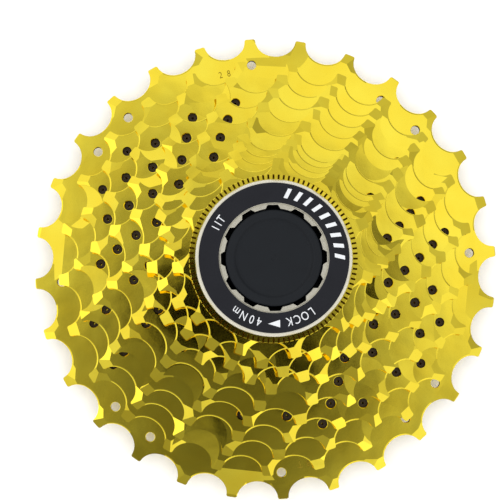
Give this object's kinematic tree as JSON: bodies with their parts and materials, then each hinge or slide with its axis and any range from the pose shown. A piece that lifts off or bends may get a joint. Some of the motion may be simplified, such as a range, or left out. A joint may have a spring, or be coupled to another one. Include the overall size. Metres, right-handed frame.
{
  "type": "bicycle cassette",
  "caption": "Stack of toothed sprockets in rising sizes on a splined core, held by a notched lock ring.",
  "frame": {"origin": "centre of the core's underside, on the sprockets' common axis", "axes": "+Z along the axis from the largest sprocket to the lock ring, +X along the narrow key spline"},
  "size_m": [0.1144, 0.1144, 0.0506],
  "materials": {
    "gold_plate": "polished",
    "resin": "matte",
    "rivet_steel": "satin",
    "bare_aluminium": "satin",
    "black_anodised": "satin",
    "core_plastic": "satin"
  },
  "bodies": {
    "core": {"shipping_core": "core_plastic"},
    "cluster": {"sprocket_28t": "gold_plate", "sprocket_25t": "gold_plate", "sprocket_23t": "gold_plate", "sprocket_21t": "gold_plate", "sprocket_19t": "gold_plate", "sprocket_17t": "gold_plate", "cluster_spacer_28_25": "resin", "cluster_spacer_25_23": "resin", "cluster_spacer_23_21": "resin", "cluster_spacer_21_19": "resin", "cluster_spacer_19_17": "resin", "cluster_rivet_1": "rivet_steel", "cluster_rivet_2": "rivet_steel", "cluster_rivet_3": "rivet_steel"},
    "ring_17_15": {"spacer_17_15": "resin"},
    "cog_15t": {"sprocket_15t": "gold_plate"},
    "ring_15_14": {"spacer_15_14": "resin"},
    "cog_14t": {"sprocket_14t": "gold_plate"},
    "ring_14_13": {"spacer_14_13": "resin"},
    "cog_13t": {"sprocket_13t": "gold_plate"},
    "cog_12t": {"sprocket_12t": "gold_plate"},
    "cog_11t": {"sprocket_11t": "gold_plate"},
    "washer": {"lock_washer": "bare_aluminium"},
    "lock": {"lock_ring": "black_anodised"},
    "plug": {"core_plug": "core_plastic"}
  },
  "joints": [
    {"name": "cluster_lift", "type": "slide", "parent": "core", "child": "cluster", "axis": [0, 0, 1], "range_m": [0, 0.038]},
    {"name": "ring_17_15_lift", "type": "slide", "parent": "cluster", "child": "ring_17_15", "axis": [0, 0, 1], "range_m": [0, 0.018]},
    {"name": "cog_15t_lift", "type": "slide", "parent": "ring_17_15", "child": "cog_15t", "axis": [0, 0, 1], "range_m": [0, 0.016]},
    {"name": "ring_15_14_lift", "type": "slide", "parent": "cog_15t", "child": "ring_15_14", "axis": [0, 0, 1], "range_m": [0, 0.014]},
    {"name": "cog_14t_lift", "type": "slide", "parent": "ring_15_14", "child": "cog_14t", "axis": [0, 0, 1], "range_m": [0, 0.012]},
    {"name": "ring_14_13_lift", "type": "slide", "parent": "cog_14t", "child": "ring_14_13", "axis": [0, 0, 1], "range_m": [0, 0.01]},
    {"name": "cog_13t_lift", "type": "slide", "parent": "ring_14_13", "child": "cog_13t", "axis": [0, 0, 1], "range_m": [0, 0.008]},
    {"name": "cog_12t_lift", "type": "slide", "parent": "cog_13t", "child": "cog_12t", "axis": [0, 0, 1], "range_m": [0, 0.0065]},
    {"name": "cog_11t_lift", "type": "slide", "parent": "cog_12t", "child": "cog_11t", "axis": [0, 0, 1], "range_m": [0, 0.003]},
    {"name": "washer_lift", "type": "slide", "parent": "cog_11t", "child": "washer", "axis": [0, 0, 1], "range_m": [0, 0.005]},
    {"name": "lock_ring_turn", "type": "hinge", "parent": "washer", "child": "lock", "pos_m": [0, 0, 0.0477], "axis": [0, 0, 1], "range_deg": [0, 1800]},
    {"name": "plug_pull", "type": "slide", "parent": "core", "child": "plug", "axis": [0, 0, 1], "range_m": [0, 0.021]}
  ],
  "couplings": [
    {"joint": "washer_lift", "follows": "lock_ring_turn", "m_per_rad": 0.00015915}
  ]
}
